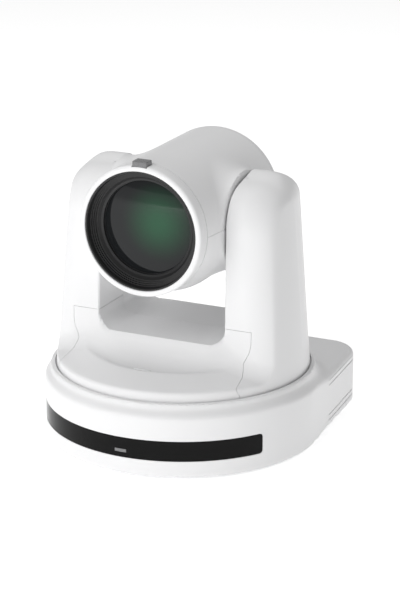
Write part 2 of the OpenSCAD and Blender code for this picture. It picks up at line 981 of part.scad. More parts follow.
module head_lower_cover() {
    color(white) intersection() {
        head_shell();
        bar(far, -far, far, 0, head_split_z - seam / 2);
    }
}

// Turned cap, moved in by t
module cap_form(t, y0) {
    intersection() {
        union() {
            rod_y(head_r - t, y0, head_back - cap_taper, 0, tilt_z);
            translate([0, head_back - cap_taper - eps, tilt_z]) rotate([-90, 0, 0])
                cylinder(h = cap_taper - t + eps, r1 = head_r - t, r2 = head_r - cap_taper);
        }
        bar(side_flat - t, -far, far, 0, far);
    }
}

module head_rear_cover() {
    color(white) difference() {
        cap_form(0, cap_y + seam);
        cap_form(wall, cap_y - 1);
        head_screw_places() screw_seat(5);
    }
}

module head_screw_places() {
    for (x = [-1, 1], z = [-1, 1])
        translate([x * 20, head_back, tilt_z + z * 20]) rotate([-90, 0, 0]) children();
}

module head_screws() {
    color(steel) head_screw_places() screw(8);
}

module front_bezel() {
    color(white) difference() {
        rod_y(bezel_r, -head_front, -bezel_back, 0, lens_z);
        rod_y(hood_r, -head_front - 1, far, 0, lens_z);
        lamp_space(clear);
    }
}

// Stepped black funnel between the bezel and the glass
module lens_hood() {
    r = hood_r - clear;
    color(black) translate([0, -head_front, lens_z]) rotate([-90, 0, 0]) rotate_extrude() polygon([
        [r, 0.5], [r - 1, 0.5], [r - 1.4, 3], [r - 4.5, 6.6], [glass_r + 1.6, glass_recess - 2.2],
        [glass_r + 0.3, glass_recess - 1.8], [glass_r + 0.3, glass_recess - 0.5],
        [glass_r + glass_rim, glass_recess - 0.5], [r - 1, 6.5], [r, 4.5]
    ]);
}

module front_glass() {
    ball_r = (glass_r * glass_r + glass_crown * glass_crown) / (2 * glass_crown);
    depth = glass_crown + glass_t;
    color([0.1, 0.16, 0.16]) translate([0, glass_y - glass_crown, lens_z]) rotate([-90, 0, 0])
        rotate_extrude() intersection() {
            square([glass_r, depth]);
            translate([0, ball_r]) circle(ball_r, $fn = 1440);
        }
}

// Space of the tally lamp on top of the bezel
module lamp_space(grow) {
    lamp_w = 4.5;
    z = lens_z + bezel_r;
    bar(lamp_w + grow, -head_front + 0.4 - grow, -bezel_back - 1 + grow, z - 1.4 - grow, z + 3.6);
}

module tally_lamp() {
    color(grey) intersection() {
        lamp_space(0);
        rod_y(bezel_r + 3.6, -head_front, 0, 0, lens_z);
    }
}

module head_frame() {
    color(steel) difference() {
        union() {
            rod_y(barrel_r + 3, -12, 12, 0, lens_z);
            rod_x(16, -frame_disc, frame_disc, 0, tilt_z);
        }
        rod_y(barrel_r, -30, 30, 0, lens_z);
        rod_x(shaft_r, -far, far, 0, tilt_z);
    }
}

module tilt_shafts() {
    step_x = frame_disc + 0.1;
    color(steel) {
        rod_x(shaft_r, barrel_r + 1, tilt_shaft_end, 0, tilt_z);
        rod_x(shaft_r + 5, step_x, step_x + 1.6, 0, tilt_z);
        rod_x(shaft_r, -upright_x - upright_t - 2, -barrel_r - 1, 0, tilt_z);
        rod_x(shaft_r + 5, -step_x - 1.6, -step_x, 0, tilt_z);
    }
}

module lens_barrel() {
    color(black) difference() {
        union() {
            rod_y(glass_r + glass_rim, glass_y, glass_y + glass_t + 2, 0, lens_z);
            rod_y(barrel_r, glass_y + 1, barrel_back, 0, lens_z);
        }
        rod_y(glass_r + run, glass_y - 1, glass_y + glass_t, 0, lens_z);
        rod_y(18, glass_y, glass_y + glass_t + 5, 0, lens_z);
        rod_y(barrel_bore, glass_y + glass_t + 2.5, barrel_back - 2, 0, lens_z);
        rod_y(8, 0, barrel_back + 1, 0, lens_z);
        rod_y(screw_r + 0.1, 0, barrel_back + 1, screw_x, lens_z);
    }
}

module guide_rods() {
    color(steel) for (z = [-1, 1])
        rod_y(rod_r, glass_y + glass_t + 2.5, barrel_back - 2, 0, lens_z + z * rod_z);
}

// Lens cell that slides on the guide rods
module lens_cell(y0, y1) {
    difference() {
        rod_y(group_r, y0, y1, 0, lens_z);
        for (z = [-1, 1])
            rod_y(rod_r + run, y0 - 1, y1 + 1, 0, lens_z + z * rod_z);
        rod_y(screw_r + 0.2, y0 - 1, y1 + 1, screw_x, lens_z);
        rod_y(14, y0 - 1, y0 + 1, 0, lens_z);
        rod_y(14, y1 - 1, y1 + 1, 0, lens_z);
    }
}

module zoom_group() {
    color(grey) lens_cell(-6, 2);
}

module focus_group() {
    color(grey) lens_cell(-22, -16);
}

module sensor_board() {
    y = barrel_back + 3;
    color(green) {
        block([-24, y, lens_z - 18], [11, y + board_t, lens_z + 18]);
        bar(7, y - 2, y, lens_z - 5.5, lens_z + 5.5);
    }
}

module zoom_motor() {
    color(steel) {
        rod_y(6, barrel_back + 0.2, cap_y - 4, screw_x, lens_z);
        rod_y(screw_r, -12, barrel_back + 0.2 + eps, screw_x, lens_z);
    }
}

base_cover();
ir_window();
status_lens();
bottom_plate();
rubber_feet();
tripod_bush();
rear_panel();
dc_jack();
lan_port();
control_port();
hdmi_port();
sdi_connector();
audio_jack();
io_board();
main_board();
processor();
heat_sink();
ir_board();
pan_post();
pan_bearing_inner();
retaining_ring();
pan_motor();
pan_belt();
base_screws();
pan_motor_shaft();
pan_pinion();
turntable_plate();
pan_hub();
pan_pulley();
pan_bearing_outer();
yoke_frame();
yoke_cover();
yoke_front_cover();
left_arm_panel();
right_arm_panel();
tilt_bearings();
tilt_motor();
tilt_belt();
drive_board();
index_mark();
yoke_screws();
tilt_motor_shaft();
tilt_pinion();
head_upper_cover();
head_lower_cover();
head_rear_cover();
front_bezel();
lens_hood();
front_glass();
tally_lamp();
head_frame();
tilt_shafts();
tilt_pulley();
lens_barrel();
guide_rods();
sensor_board();
zoom_motor();
head_screws();
zoom_group();
focus_group();
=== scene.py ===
import json
import math

import bmesh
import bpy
import numpy as np
from mathutils import Matrix, Vector


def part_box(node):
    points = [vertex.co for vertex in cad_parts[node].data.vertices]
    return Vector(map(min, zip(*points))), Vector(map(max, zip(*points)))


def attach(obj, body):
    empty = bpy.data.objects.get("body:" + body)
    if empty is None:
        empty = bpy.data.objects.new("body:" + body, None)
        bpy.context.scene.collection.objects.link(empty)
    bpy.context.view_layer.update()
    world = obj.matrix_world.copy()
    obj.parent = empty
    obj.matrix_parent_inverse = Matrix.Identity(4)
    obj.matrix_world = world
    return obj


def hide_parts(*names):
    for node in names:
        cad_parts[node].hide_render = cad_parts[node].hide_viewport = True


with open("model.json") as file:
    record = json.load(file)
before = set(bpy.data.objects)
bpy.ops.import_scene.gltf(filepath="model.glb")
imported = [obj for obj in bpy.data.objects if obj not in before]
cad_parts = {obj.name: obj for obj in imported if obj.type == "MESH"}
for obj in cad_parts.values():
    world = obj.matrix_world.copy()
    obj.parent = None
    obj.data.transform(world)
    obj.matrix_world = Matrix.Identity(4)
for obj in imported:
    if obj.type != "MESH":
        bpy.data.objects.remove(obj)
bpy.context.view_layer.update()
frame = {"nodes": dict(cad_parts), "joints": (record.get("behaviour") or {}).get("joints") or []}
nodes = frame["nodes"]
joints = {j["name"]: j for j in frame["joints"]}
scene = bpy.context.scene

# The shapes below are worked out in millimetres, as the moulds are drawn, and each finished
# piece is brought to metres once, when it becomes an object.
MM = 0.001


def box_mm(node):
    """Lowest and highest corner of a CAD node, in millimetres."""
    low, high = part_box(node)
    return Vector(low) / MM, Vector(high) / MM


# ---------- studio ----------
# A pale table that runs out of sight, a broad lamp in front on the left, one overhead from behind, a
# weak low one in front and an even surround, so that white plastic keeps soft grey shading.

LENS_MM = 146.1
VIEW_AZIMUTH = math.radians(25.7)
VIEW_HEIGHT = math.radians(18.25)
VIEW_DISTANCE = 1.4
VIEW_SIDE = 0.0096
VIEW_Z = 0.078
SENSOR_MM = 36
SURROUND = 0.33
TABLE_GLOW = 0.5
TABLE_HALF = 60

right = Vector((math.cos(VIEW_AZIMUTH), math.sin(VIEW_AZIMUTH), 0))
toward = Vector((
    math.sin(VIEW_AZIMUTH) * math.cos(VIEW_HEIGHT),
    -math.cos(VIEW_AZIMUTH) * math.cos(VIEW_HEIGHT),
    math.sin(VIEW_HEIGHT),
))
aim = right * VIEW_SIDE + Vector((0, 0, VIEW_Z))
camera_data = bpy.data.cameras.new("camera")
camera_data.sensor_fit = "VERTICAL"
camera_data.sensor_height = SENSOR_MM
camera_data.lens = LENS_MM
camera = bpy.data.objects.new("camera", camera_data)
camera.location = aim + toward * VIEW_DISTANCE
camera.rotation_euler = toward.to_track_quat("Z", "Y").to_euler()
scene.collection.objects.link(camera)
scene.camera = camera


def softbox(name, place, size, watts):
    """A lamp that faces the subject and leaves no square mirrored in glossy faces."""
    lamp = bpy.data.lights.new(name, "AREA")
    lamp.shape = "RECTANGLE"
    lamp.size, lamp.size_y = size
    lamp.energy = watts
    piece = bpy.data.objects.new(name, lamp)
    piece.location = place
    piece.rotation_euler = (Vector(place) - aim).to_track_quat("Z", "Y").to_euler()
    piece.visible_glossy = False
    scene.collection.objects.link(piece)


softbox("key_lamp", (-0.35, -1.2, 0.85), (0.8, 0.8), 7.5)
softbox("top_lamp", (-0.2, 0.35, 1.3), (0.9, 0.9), 5.5)
softbox("front_lamp", (-0.25, -1.5, 0.25), (0.7, 0.5), 3)

world = bpy.data.worlds.new("surround")
world.use_nodes = True
world.node_tree.nodes["Background"].inputs["Color"].default_value = (1, 1, 1, 1)
world.node_tree.nodes["Background"].inputs["Strength"].default_value = SURROUND
scene.world = world
scene.view_settings.view_transform = "Standard"

floor_mat = bpy.data.materials.new("pale_table")
floor_mat.use_nodes = True
floor_shader = floor_mat.node_tree.nodes["Principled BSDF"]
floor_shader.inputs["Base Color"].default_value = (0.95, 0.95, 0.95, 1)
floor_shader.inputs["Roughness"].default_value = 0.9
floor_shader.inputs["Specular IOR Level"].default_value = 0.1
floor_shader.inputs["Emission Color"].default_value = (1, 1, 1, 1)
floor_shader.inputs["Emission Strength"].default_value = TABLE_GLOW
bm = bmesh.new()
bmesh.ops.create_grid(bm, x_segments=1, y_segments=1, size=TABLE_HALF)
bmesh.ops.translate(bm, verts=bm.verts, vec=(0, 0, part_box("rubber_feet")[0].z))
floor_mesh = bpy.data.meshes.new("table")
bm.to_mesh(floor_mesh)
bm.free()
floor = bpy.data.objects.new("table", floor_mesh)
floor.data.materials.append(floor_mat)
scene.collection.objects.link(floor)


# ---------- base cover ----------
# The base cover is one white moulding: a round front wall, flat sides that lean in towards the
# rear, a lower deck over the connectors, and a collar with a raised lip round the turntable.

def finish_nodes(name, colour, roughness, metallic=0.0):
    """A new material with its shader, ready for texture nodes."""
    mat = bpy.data.materials.new(name)
    mat.use_nodes = True
    shader = mat.node_tree.nodes["Principled BSDF"]
    shader.inputs["Base Color"].default_value = (*colour, 1)
    shader.inputs["Roughness"].default_value = roughness
    shader.inputs["Metallic"].default_value = metallic
    return mat, shader


def grain(mat, shader, scale, bump, rough, tint=0.02, stretch=(1, 1, 1)):
    """Fine moulded grain: bump, a little unevenness in gloss, and a slight change of tone."""
    tree = mat.node_tree
    place = tree.nodes.new("ShaderNodeTexCoord")
    mapping = tree.nodes.new("ShaderNodeMapping")
    mapping.inputs["Scale"].default_value = stretch
    fine = tree.nodes.new("ShaderNodeTexNoise")
    fine.inputs["Scale"].default_value = scale
    fine.inputs["Detail"].default_value = 3
    broad = tree.nodes.new("ShaderNodeTexNoise")
    broad.inputs["Scale"].default_value = scale / 60
    raised = tree.nodes.new("ShaderNodeBump")
    raised.inputs["Strength"].default_value = bump
    raised.inputs["Distance"].default_value = 0.0001
    gloss = tree.nodes.new("ShaderNodeMapRange")
    base = shader.inputs["Roughness"].default_value
    gloss.inputs["To Min"].default_value = base - rough
    gloss.inputs["To Max"].default_value = base + rough
    tone = tree.nodes.new("ShaderNodeMix")
    tone.data_type = "RGBA"
    colour = shader.inputs["Base Color"].default_value[:3]
    tone.inputs["A"].default_value = (*[c * (1 - tint) for c in colour], 1)
    tone.inputs["B"].default_value = (*[min(1, c * (1 + tint)) for c in colour], 1)
    tree.links.new(place.outputs["Object"], mapping.inputs["Vector"])
    tree.links.new(mapping.outputs["Vector"], fine.inputs["Vector"])
    tree.links.new(mapping.outputs["Vector"], broad.inputs["Vector"])
    tree.links.new(fine.outputs["Fac"], raised.inputs["Height"])
    tree.links.new(fine.outputs["Fac"], gloss.inputs["Value"])
    tree.links.new(broad.outputs["Fac"], tone.inputs["Factor"])
    tree.links.new(raised.outputs["Normal"], shader.inputs["Normal"])
    tree.links.new(gloss.outputs["Result"], shader.inputs["Roughness"])
    tree.links.new(tone.outputs["Result"], shader.inputs["Base Color"])
    return mat


white_mat, white_shader = finish_nodes("white_plastic", (0.83, 0.83, 0.835), 0.36)
white_shader.inputs["Coat Weight"].default_value = 0.12
white_shader.inputs["Coat Roughness"].default_value = 0.25
grain(white_mat, white_shader, 2200, 0.06, 0.05, 0.008)


def round_join(a, b, r):
    """Union of two distances with a hollow fillet of radius r."""
    u, v = np.maximum(r - a, 0), np.maximum(r - b, 0)
    return np.maximum(r, np.minimum(a, b)) - np.hypot(u, v)


def round_meet(a, b, r):
    """What two distances share, with a rounded edge of radius r."""
    u, v = np.maximum(r + a, 0), np.maximum(r + b, 0)
    return np.minimum(-r, np.maximum(a, b)) + np.hypot(u, v)


def ease(t):
    """Smooth step from 0 to 1."""
    t = np.clip(t, 0, 1)
    return t * t * (3 - 2 * t)


TINY = 0.02
LEAST_SLOPE = 0.2
LONGEST_STEP = 4
COARSE = 1.7


def settle(points, form, steps=9):
    """Walks the points along the form's slope until its distance is nought."""
    axes = TINY * np.eye(points.shape[1])
    for _ in range(steps):
        slope = np.stack([(form(points + d) - form(points - d)) / (2 * TINY) for d in axes], 1)
        size = np.maximum((slope ** 2).sum(1), LEAST_SLOPE)
        step = np.clip(form(points) / size, -LONGEST_STEP, LONGEST_STEP)
        points = points - step[:, None] * slope
    return points


def as_object(bm, name, mat):
    """Turns a bmesh in millimetres into an object in metres."""
    bmesh.ops.scale(bm, vec=(MM, MM, MM), verts=bm.verts)
    mesh = bpy.data.meshes.new(name)
    bm.to_mesh(mesh)
    bm.free()
    mesh.shade_smooth()
    piece = bpy.data.objects.new(name, mesh)
    mesh.materials.append(mat)
    scene.collection.objects.link(piece)
    return piece


def with_modifiers(piece):
    """The piece's mesh with its modifiers applied, which are then dropped."""
    graph = bpy.context.evaluated_depsgraph_get()
    graph.update()
    mesh = bpy.data.meshes.new_from_object(piece.evaluated_get(graph))
    piece.modifiers.clear()
    piece.data = mesh
    return piece


def moulded(name, lumps, form, voxel, mat):
    """Rough lumps are joined into one skin and worked down to the exact form, coarse then fine."""
    piece = as_object(lumps, name, mat)
    for grid, passes in ((voxel * COARSE, 2), (voxel, 3)):
        skin = piece.modifiers.new("skin", "REMESH")
        skin.mode = "VOXEL"
        skin.voxel_size = grid * MM
        with_modifiers(piece)
        bm = bmesh.new()
        bm.from_mesh(piece.data)
        for turn in range(passes):
            if turn:
                bmesh.ops.smooth_vert(bm, verts=bm.verts, factor=0.5, use_axis_x=True,
                                      use_axis_y=True, use_axis_z=True)
            points = settle(np.array([v.co for v in bm.verts]) / MM, form) * MM
            for v, p in zip(bm.verts, points):
                v.co = p
        bm.to_mesh(piece.data)
        bm.free()
    piece.data.shade_smooth()
    return piece


def carve(piece, cutters, operation="DIFFERENCE"):
    """Cuts the piece with closed pieces, which are then thrown away."""
    for cutter in cutters:
        cut = piece.modifiers.new("cut", "BOOLEAN")
        cut.operation = operation
        cut.solver = "MANIFOLD"
        cut.object = cutter
        with_modifiers(piece)
        bpy.data.objects.remove(cutter)
    return piece


def crisp(piece, angle=32):
    """Smooth shading that stops at real edges."""
    bm = bmesh.new()
    bm.from_mesh(piece.data)
    bmesh.ops.remove_doubles(bm, verts=bm.verts, dist=2e-7)
    bmesh.ops.dissolve_degenerate(bm, edges=bm.edges, dist=1e-7)
    bmesh.ops.recalc_face_normals(bm, faces=bm.faces)
    for edge in bm.edges:
        edge.smooth = edge.calc_face_angle(0) < math.radians(angle)
    for face in bm.faces:
        face.smooth = True
    bm.to_mesh(piece.data)
    bm.free()
    return piece


def add_block(bm, low, high):
    """A box between two corners."""
    low, high = Vector(low), Vector(high)
    middle = Matrix.Translation((low + high) / 2)
    return bmesh.ops.create_cube(bm, size=1, matrix=middle @ Matrix.Diagonal((*(high - low), 1)))


def add_drum(bm, r, low, high, turn=None, centre=(0, 0, 0), top_r=None, segments=128):
    """A round drum between two heights, stood along Z or turned."""
    place = Matrix.Translation(centre) @ (turn or Matrix.Identity(4))
    place = place @ Matrix.Translation((0, 0, (low + high) / 2))
    return bmesh.ops.create_cone(bm, cap_ends=True, segments=segments, radius1=r,
                                 radius2=r if top_r is None else top_r, depth=high - low,
                                 matrix=place)


def cutter(build, *args, **names):
    """A throwaway closed piece made by one of the shape functions."""
    bm = bmesh.new()
    build(bm, *args, **names)
    bmesh.ops.recalc_face_normals(bm, faces=bm.faces)
    return as_object(bm, "cutter", white_mat)


def prism(outline, centre, radius, axis, low, high, segments=256):
    """A closed bar whose section is where a flat form is nought, cut off at low and high."""
    bm = bmesh.new()
    bmesh.ops.create_circle(bm, cap_ends=True, segments=segments, radius=radius)
    flat = np.array([v.co[:2] for v in bm.verts]) + centre
    flat = settle(flat, outline, 14)
    first, second, along = {"Z": (0, 1, 2), "X": (1, 2, 0), "Y": (0, 2, 1)}[axis]
    for v, p in zip(bm.verts, flat):
        v.co[first], v.co[second], v.co[along] = p[0], p[1], low
    push = Vector((0, 0, 0))
    push[along] = high - low
    made = bmesh.ops.extrude_face_region(bm, geom=bm.faces[:])
    moved = [g for g in made["geom"] if isinstance(g, bmesh.types.BMVert)]
    bmesh.ops.translate(bm, verts=moved, vec=push)
    bmesh.ops.recalc_face_normals(bm, faces=bm.faces)
    return as_object(bm, "cutter", white_mat)


base_low, base_high = box_mm("base_cover")
BASE_R = round(base_high.x, 1)
BASE_BACK = base_high.y
LIP_TOP = base_high.z
BASE_FOOT = base_low.z
BLOCK_TOP = LIP_TOP - 10.5
SHOULDER_TOP = LIP_TOP - 4.7
TAPER = math.radians(5.5)
CORNER_R = 17
WALL = 2.5
GAP_R = BASE_R - 6
LIP_R = GAP_R + 2.6
DECK_TOP = LIP_TOP - 2
HOLE_R = 46
BASE_EDGE_R = 3.4
LIP_EDGE_R = 1.3
FOOT_EDGE_R = 0.9
SLOPE_FROM = 35
SLOPE_RUN = 75
FRONT_JOIN_R = 2.6
BACK_JOIN_R = 9.0
BASE_VOXEL = 1.3
PAN_CLEAR = 0.2
# A cutter runs this far past the face that it opens.
PAST = 5


def base_plan(p, inset=0.0):
    """Distance outside the base's plan view."""
    x, y = np.abs(p[:, 0]), p[:, 1]
    r = BASE_R - inset
    along = y * math.cos(TAPER) - x * math.sin(TAPER)
    side = x * math.cos(TAPER) + y * math.sin(TAPER) - r
    wall = np.where(along < 0, np.hypot(x, y) - r, side)
    return round_meet(wall, y - (BASE_BACK - inset), CORNER_R - inset)


def base_form(p):
    """Distance outside the base cover, before its recesses are cut."""
    y, z = p[:, 1], p[:, 2]
    back = ease((y + SLOPE_FROM) / SLOPE_RUN)
    top = SHOULDER_TOP + (BLOCK_TOP - SHOULDER_TOP) * back
    plan = base_plan(p)
    body = round_meet(plan, z - top, BASE_EDGE_R)
    lip = round_meet(np.hypot(p[:, 0], y) - LIP_R, z - LIP_TOP, LIP_EDGE_R)
    join_r = FRONT_JOIN_R + (BACK_JOIN_R - FRONT_JOIN_R) * back
    body = np.maximum(round_join(body, lip, join_r), plan)
    return round_meet(body, BASE_FOOT - z, FOOT_EDGE_R)


bm = bmesh.new()
add_drum(bm, BASE_R, BASE_FOOT, SHOULDER_TOP)
add_drum(bm, LIP_R, BASE_FOOT + PAST, LIP_TOP)
add_block(bm, (-BASE_R + 5, 0, BASE_FOOT), (BASE_R - 5, BASE_BACK, BLOCK_TOP))
base_cover = moulded("base_shell", bm, base_form, BASE_VOXEL, white_mat)


def band_plate(bm, half, low, high, inner, outer, corner):
    """A plate with rounded corners, bent round the front wall between two radii."""
    r = (inner + outer) / 2
    reach = half * r
    start = math.radians(-90)
    corners = [bm.verts.new((x, 0, z)) for x, z in
               ((-reach, low), (reach, low), (reach, high), (-reach, high))]
    bm.faces.new(corners)
    bmesh.ops.bevel(bm, geom=corners, offset=corner, segments=8, profile=0.5,
                    affect="VERTICES", material=-1)
    steps = max(2, int(math.degrees(half * 2) / BEND_DEGREES))
    for i in range(1, steps):
        cut = -reach + 2 * reach * i / steps
        bmesh.ops.bisect_plane(bm, geom=bm.verts[:] + bm.edges[:] + bm.faces[:],
                               plane_co=(cut, 0, 0), plane_no=(1, 0, 0))
    made = bmesh.ops.extrude_face_region(bm, geom=bm.faces[:])
    front = {g for g in made["geom"] if isinstance(g, bmesh.types.BMVert)}
    for v in bm.verts:
        angle = start + v.co.x / r
        depth = outer if v in front else inner
        v.co = Vector((depth * math.cos(angle), depth * math.sin(angle), v.co.z))
    bmesh.ops.recalc_face_normals(bm, faces=bm.faces)


WINDOW_LOW, WINDOW_HIGH = (c.z for c in box_mm("ir_window"))
WINDOW_HALF = math.asin(box_mm("ir_window")[1].x / BASE_R)
WINDOW_T = 1.5
WINDOW_GAP = 0.22
WINDOW_CORNER_R = 2
BEND_DEGREES = 1.2
GROOVE_HEIGHTS = (4.6, 7.8, 26.4, 29.4)
GROOVE_R = 0.55
GROOVE_ENDS = (28, 76)
PANEL_GAP = 0.3
PANEL_LOW, PANEL_HIGH = box_mm("rear_panel")


def groove_bar(bm, side, z):
    """A thin round-ended bar that presses a fine groove into a flat side."""
    made = add_drum(bm, GROOVE_R, *GROOVE_ENDS, Matrix.Rotation(math.radians(-90), 4, "X"),
                    segments=24)
    place = Matrix.Rotation(TAPER, 4, "Z") @ Matrix.Translation((BASE_R + 0.1, 0, z))
    bmesh.ops.transform(bm, matrix=place, verts=made["verts"])
    if side < 0:
        bmesh.ops.scale(bm, vec=(-1, 1, 1), verts=made["verts"])


carve(base_cover, [
    prism(lambda p: base_plan(p, WALL), centre=(0, 8), radius=70, axis="Z", low=-3,
          high=BLOCK_TOP - WALL),
    cutter(add_drum, GAP_R - WALL, -3, DECK_TOP - WALL),
    cutter(add_drum, GAP_R + PAN_CLEAR, DECK_TOP, LIP_TOP + PAST, segments=256),
    cutter(add_drum, HOLE_R, 0, LIP_TOP + PAST),
    cutter(band_plate, WINDOW_HALF + 0.003, WINDOW_LOW - WINDOW_GAP, WINDOW_HIGH + WINDOW_GAP,
           BASE_R - WINDOW_T, BASE_R + 2, WINDOW_CORNER_R + 0.1),
    cutter(add_block, (PANEL_LOW.x - PANEL_GAP, PANEL_LOW.y - PAST, PANEL_LOW.z - PANEL_GAP),
           (PANEL_HIGH.x + PANEL_GAP, BASE_BACK + PAST, PANEL_HIGH.z + PANEL_GAP)),
    *[cutter(groove_bar, side, z) for side in (-1, 1) for z in GROOVE_HEIGHTS],
])
crisp(base_cover)
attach(base_cover, "base")
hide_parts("base_cover")


# ---------- window band ----------
# The remote control's receivers look out through a glossy, nearly black band, bent round the front
# wall and let in flush. A small lens in it shows the status lamps.

band_mat, band_shader = finish_nodes("window_black", (0.006, 0.006, 0.006), 0.12)
band_shader.inputs["IOR"].default_value = 1.2
grain(band_mat, band_shader, 900, 0.015, 0.015)
bm = bmesh.new()
band_plate(bm, WINDOW_HALF, WINDOW_LOW, WINDOW_HIGH, BASE_R - WINDOW_T + 0.02, BASE_R,
           WINDOW_CORNER_R)
window = as_object(bm, "window_band", band_mat)
lens_low, lens_high = box_mm("status_lens")
LENS_GAP = 0.15
carve(window, [cutter(add_block, (lens_low.x - LENS_GAP, -BASE_R - 2, lens_low.z - LENS_GAP),
                      (lens_high.x + LENS_GAP, -BASE_R + 3, lens_high.z + LENS_GAP))])
crisp(window)
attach(window, "base")
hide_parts("ir_window")


# ---------- yoke and turntable ----------
# The turntable and both arms are one slightly tapered drum, cut to two arms with rounded tops.
# A soft bevel runs round the front of each arm to a crease on the drum.

table_low, table_high = box_mm("yoke_cover")
SKIRT_Z = table_low.z
TABLE_R = table_high.x
ARM_TOP = table_high.z
TILT_Z = joints["tilt"]["pos_m"][2] / MM
LEAN = math.tan(math.radians(3.9))
ARM_R = ARM_TOP - TILT_Z
ARM_SHIFT = 1.5
HALF_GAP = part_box("right_arm_panel")[0].x / MM
FLOOR_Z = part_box("yoke_front_cover")[1].z / MM - 10.2
OPENING_R = 9
SEAM_Z = FLOOR_Z + 10.4
SEAM_X = TABLE_R - 17.4
SEAM_Y = 1
RIM_Z = SKIRT_Z + 6
BOWL_R = TABLE_R - 16.4
BOWL_Z = RIM_Z + 6
ARM_WALL = 2.2
RAMP_FROM = 49
DIP = 2.0
# The two EVEN values bring the distance over a sloping face back near its true measure.
EVEN_RIM = 0.85
ARM_SPREAD = 0.024
SHOULDER_R = 17
BEVEL_SLOPE = 0.3
EVEN_BEVEL = 0.958
BEVEL_NARROW, BEVEL_WIDE = 3.5, 12
BEVEL_TAPER = 0.105
CREASE_R = 0.7
DISC_EDGE_R = 1.1
ARM_FOOT_R = 8.0
OPENING_EDGE_R = 0.9
# The rough skirt runs this far below its foot, where it is cut off level.
UNDER = 6
YOKE_VOXEL = 0.95
INNER_VOXEL = 2.6
SEAM_CLEAR = 0.12
FAR = 120
ACROSS = Matrix.Rotation(math.radians(90), 4, "Y")
SHAFT_R = 6.5
PANEL_MIDDLE = (ARM_SHIFT, TILT_Z - 10)
PANEL_START_R = 20
PANEL_SINK = 0.05


def arm_side(y, z):
    """Distance outside an arm's rounded side view."""
    below = np.maximum(TILT_Z - z, 0)
    reach = ARM_R + ARM_SPREAD * below
    return np.where(z > TILT_Z, np.hypot(y - ARM_SHIFT, z - TILT_Z) - ARM_R,
                    np.abs(y - ARM_SHIFT) - reach)


def yoke_opening(p):
    """Distance outside the gap between the arms, less than nought inside it."""
    x, z = np.abs(p[:, 0]), p[:, 2]
    return round_meet(x - HALF_GAP, FLOOR_Z - z, OPENING_R)


def table_rim(p):
    """Distance above the turntable: a sloping rim, then a hollow that rises to the opening."""
    r = np.hypot(p[:, 0], p[:, 1])
    rim = RIM_Z + (TABLE_R - r) * (BOWL_Z - RIM_Z) / (TABLE_R - BOWL_R)
    hollow = BOWL_Z - DIP * ease((BOWL_R - r) / 8)
    ramp = np.maximum(RAMP_FROM - np.abs(p[:, 1] - ARM_SHIFT), 0)
    steep = (FLOOR_Z - BOWL_Z + DIP) / (RAMP_FROM - ARM_R - 2) ** 2
    fade = 1 - ease((r - 42) / 16)
    top = np.where(r > BOWL_R, rim, hollow) + steep * fade * ramp ** 2
    return (p[:, 2] - top) * EVEN_RIM


def yoke_form(p, inset=0.0):
    """Distance outside the yoke and turntable."""
    y, z = p[:, 1], p[:, 2]
    drum = np.hypot(p[:, 0], y) - (TABLE_R - (z - SKIRT_Z) * LEAN)
    shoulder = round_meet(drum, z - ARM_TOP, SHOULDER_R)
    side = arm_side(y, z)
    width = BEVEL_WIDE - BEVEL_TAPER * (TILT_Z + 7 - z)
    width = np.clip(width, BEVEL_NARROW, BEVEL_WIDE)
    front = 1 - ease((y + 6) / 16)
    bevel = (shoulder + (side + width) * BEVEL_SLOPE * front) * EVEN_BEVEL
    arm = round_meet(bevel, side, 3 + 6 * front)
    arm = round_meet(arm, shoulder, CREASE_R)
    disc = round_meet(drum, table_rim(p), DISC_EDGE_R)
    body = round_join(arm, disc, ARM_FOOT_R)
    body = np.maximum(body, drum)
    body = round_meet(body, -yoke_opening(p), OPENING_EDGE_R)
    return np.maximum(body + inset, SKIRT_Z - UNDER - z)


def yoke_lumps(inset):
    """Rough blocks for the disc, the arms and the floor between them."""
    bm = bmesh.new()
    add_drum(bm, TABLE_R - inset, SKIRT_Z - UNDER, RIM_Z + 2 - inset)
    add_drum(bm, TABLE_R - inset, RIM_Z - 2, BOWL_Z - inset, top_r=BOWL_R - inset)
    for side in (-1, 1):
        ends = sorted((side * (HALF_GAP + inset), side * (TABLE_R - 6 - inset)))
        add_block(bm, (ends[0], ARM_SHIFT - ARM_R + inset, SKIRT_Z - UNDER),
                  (ends[1], ARM_SHIFT + ARM_R - inset, ARM_TOP - inset))
    add_block(bm, (-HALF_GAP - PAST, ARM_SHIFT - ARM_R + inset, SKIRT_Z - UNDER),
              (HALF_GAP + PAST, ARM_SHIFT + ARM_R - inset, FLOOR_Z - inset))
    return bm


def cover_space(bm, gap, y_end):
    """The space that the front lower cover fills, as a bar along Y."""
    x = SEAM_X
    shape = [(x + 1.2, SKIRT_Z - 10), (x + 1.2, SKIRT_Z + 2), (x - 2.6, RIM_Z + 4.5),
             (x - 3.9, RIM_Z + 9.5), (x - 0.9, FLOOR_Z - 1.5), (x, FLOOR_Z + 3), (x, SEAM_Z - gap)]
    loop = [(px - gap, pz) for px, pz in shape] + [(gap - px, pz) for px, pz in shape[::-1]]
    face = bm.faces.new([bm.verts.new((px, -TABLE_R - 20, pz)) for px, pz in loop])
    made = bmesh.ops.extrude_face_region(bm, geom=[face])
    moved = [g for g in made["geom"] if isinstance(g, bmesh.types.BMVert)]
    bmesh.ops.translate(bm, verts=moved, vec=(0, y_end - gap + TABLE_R + 20, 0))


def yoke_shell(name, voxel):
    """The hollow yoke, open underneath, before its covers are parted."""
    shell = moulded(name, yoke_lumps(0), yoke_form, voxel, white_mat)
    inner = moulded("cutter", yoke_lumps(ARM_WALL), lambda p: yoke_form(p, ARM_WALL),
                    INNER_VOXEL, white_mat)
    under = cutter(add_block, (-FAR, -FAR, SKIRT_Z - 30), (FAR, FAR, SKIRT_Z))
    return carve(shell, [under, inner])


